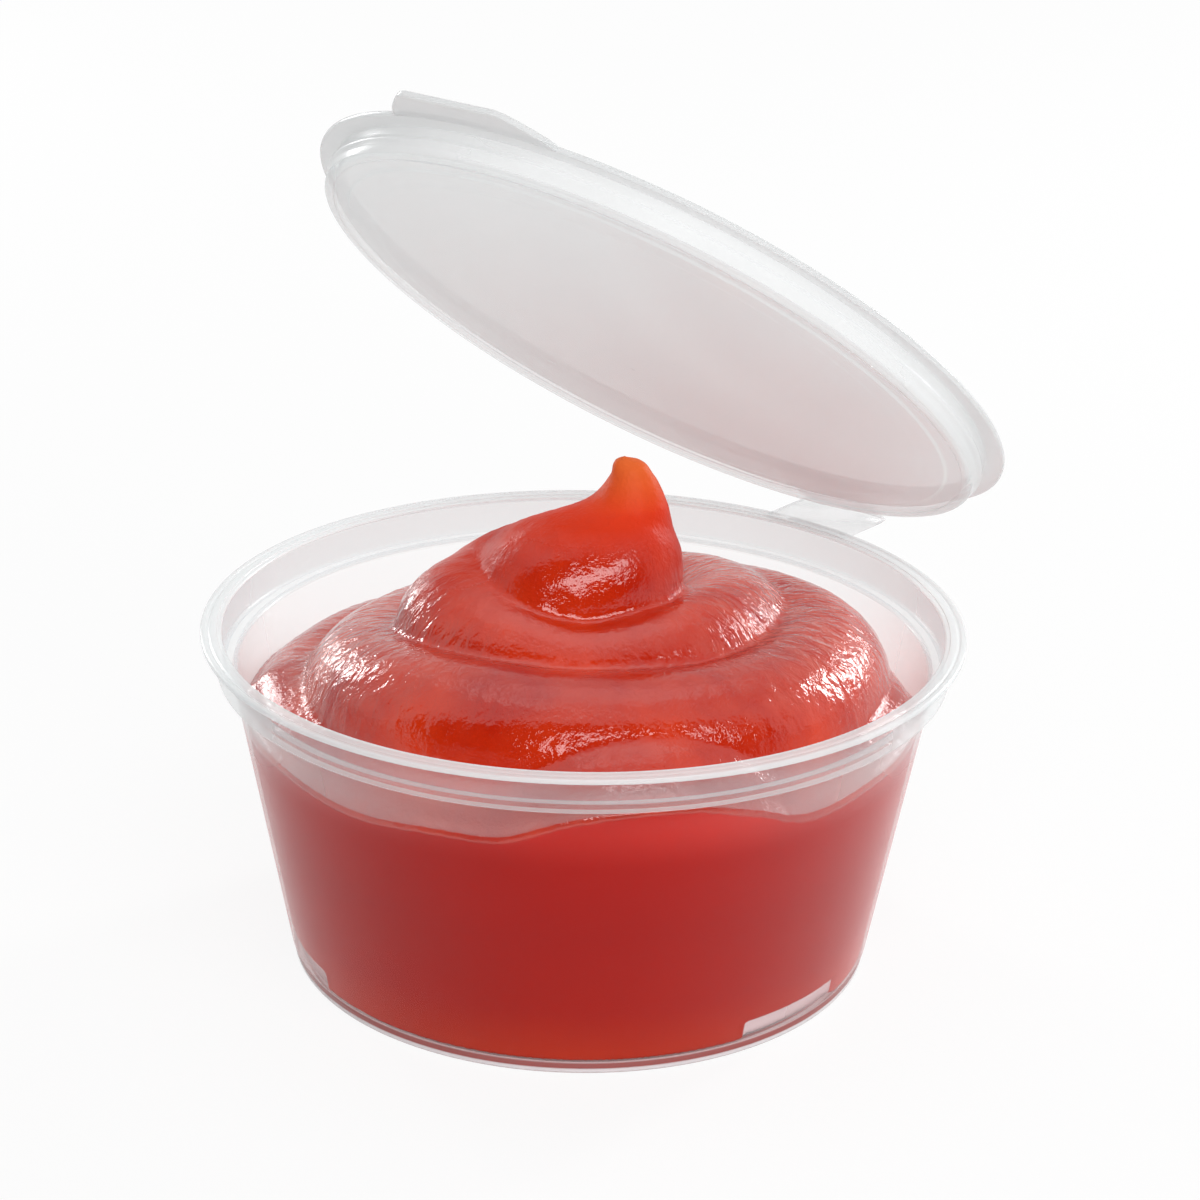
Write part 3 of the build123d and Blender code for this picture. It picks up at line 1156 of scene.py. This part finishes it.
@dataclass(frozen=True)
class Studio:
    """The white room: floor, world, soft boxes and a dark cloth for reflections, in metres."""

    floor_size: float = 6.0
    floor_grey: float = 0.9
    shadow_share: float = 0.88
    shadow_reach: Span = (0.12, 0.6)
    fill_level: float = 0.26
    cloth_elevation_deg: float = 34.0
    cloth_distance: float = 0.62
    cloth_size: tuple[float, float] = (2.4, 0.9)
    cloth_grey: float = 0.01

    def seen_directly(self, bench: NodeBench) -> Socket:
        """A factor that is 1 for camera, glossy and transmission rays."""
        rays = bench.add("LightPath").outputs
        seen = bench.calc("MAXIMUM", rays["Is Camera Ray"], rays["Is Glossy Ray"])
        return bench.calc("MAXIMUM", seen, rays["Is Transmission Ray"])

    def build_world(self) -> None:
        """A world that is white where it is seen and softer where it lights."""
        bench = NodeBench(bpy.data.worlds.new("studio"))
        strength = bench.spread(self.seen_directly(bench), (self.fill_level, 1.0))
        bench.shade(Color=(1, 1, 1, 1), Strength=strength)
        bpy.context.scene.world = bench.owner

    def build_floor(self) -> None:
        """A white floor that keeps a faint shadow near the cup."""
        shape = bmesh.new()
        bmesh.ops.create_grid(shape, x_segments=8, y_segments=8, size=self.floor_size / 2 / MM)
        floor = finished_piece(shape, "floor")
        bench = NodeBench(bpy.data.materials.new("white_floor"))
        grey = (self.floor_grey,) * 3
        bench.shade(Base_Color=(*grey, 1), Roughness=0.9, Specular_IOR_Level=0.0)
        glow = bench.add("Emission", Color=(1, 1, 1, 1), Strength=1.0)
        reach = bench.place_on_piece()["reach"]
        white = bench.spread(reach, (self.shadow_share, 1.0), self.shadow_reach)
        mix = bench.add("MixShader")
        shown = bench.times(self.seen_directly(bench), white)
        for source, target in zip((shown, bench.shader.outputs[0], glow.outputs[0]), mix.inputs):
            bench.join(source, target)
        bench.join(mix.outputs[0], bench.tree.nodes["Material Output"].inputs["Surface"])
        floor.data.materials.append(bench.owner)

    def build_dark_cloth(self) -> None:
        """A dark cloth behind the camera, which only reflections show, as in a dimmed studio."""
        shape = bmesh.new()
        bmesh.ops.create_grid(shape, x_segments=2, y_segments=2, size=0.5 / MM)
        away = direction(PHOTO_BEARING_DEG, self.cloth_elevation_deg)
        place = Matrix.Translation(away * self.cloth_distance / MM)
        place = place @ away.to_track_quat("Z", "Y").to_matrix().to_4x4()
        place = place @ Matrix.Diagonal((*self.cloth_size, 1, 1))
        cloth = finished_piece(shape, "dark_cloth", place)
        bench = NodeBench(bpy.data.materials.new("dark_cloth"))
        grey = (self.cloth_grey,) * 3
        bench.shade(Base_Color=(*grey, 1), Specular_IOR_Level=0.0)
        cloth.data.materials.append(bench.owner)
        cloth.visible_camera = False
        cloth.visible_diffuse = False
        cloth.visible_transmission = False
        cloth.visible_shadow = False

    def build(self) -> None:
        """Makes the floor, the world, the cloth and the lamps."""
        self.build_world()
        self.build_floor()
        self.build_dark_cloth()
        for lamp in (
            SoftBox("front_core", 56, 39, 0.46, 0.16, 1.45),
            SoftBox("left_strip", -102, 13, 0.08, 0.16, 0.55),
            SoftBox("right_strip", 172, 16, 0.08, 0.2, 1.0),
            SoftBox("top_box", 220, 72, 0.3, 0.3, 0.3),
        ):
            lamp.build()


def main() -> None:
    """Builds the pieces in order and reports each one."""
    logging.basicConfig(level=logging.INFO)
    cup_plastic = MilkyPlastic(
        "cup_plastic_dry", tint=(0.91, 0.95, 0.96), face_alpha=0.09, edge_alpha=0.65,
        thick_alpha=0.58, ring_height=0.00001,
    ).build()
    # Painted light: the sauce's colour carried in the wall plastic.
    wet_plastic = WetWallPlastic("cup_plastic_wet").build()
    # A darker, bluer copy of the cup plastic inside the cup, painted to hide the sauce's red light
    # on it.
    inside_plastic = MilkyPlastic(
        "cup_plastic_inside", tint=(0.56, 0.62, 0.65), face_alpha=0.24, edge_alpha=0.5
    ).build()
    lid_plastic = MilkyPlastic(
        "lid_plastic_milky", tint=(0.78, 0.8, 0.805), face_alpha=0.24, edge_alpha=0.85, gloss=0.25
    ).build()
    # A bluer copy of the lid plastic on the panel's face over the sauce: painted to hide the
    # sauce's red light.
    panel_plastic = MilkyPlastic(
        "lid_plastic_panel", tint=(0.84, 0.94, 0.95), face_alpha=0.14, edge_alpha=0.48
    ).build()
    strap_plastic = MilkyPlastic("strap_plastic_milky", face_alpha=0.14, edge_alpha=0.4).build()
    sauce_finish = WetSauce("tomato_sauce").build()
    cup = CupShell(cup_plastic, wet_plastic, inside_plastic)
    lid = LidShell(lid_plastic, panel_plastic)
    strap = HingeStrap(strap_plastic)
    made = [
        cup.build(),
        lid.build(),
        lid.build_tab(),
        strap.build_cup_side(),
        strap.build_lid_side(),
        *Sauce(cup, sauce_finish).build(),
    ]
    for piece in made:
        LOG.info("%s: %d faces", piece.name, len(piece.data.polygons))
    PhotoCamera().build()
    Studio().build()
    bpy.context.scene.view_settings.view_transform = "Standard"


if __name__ == "__main__":
    main()
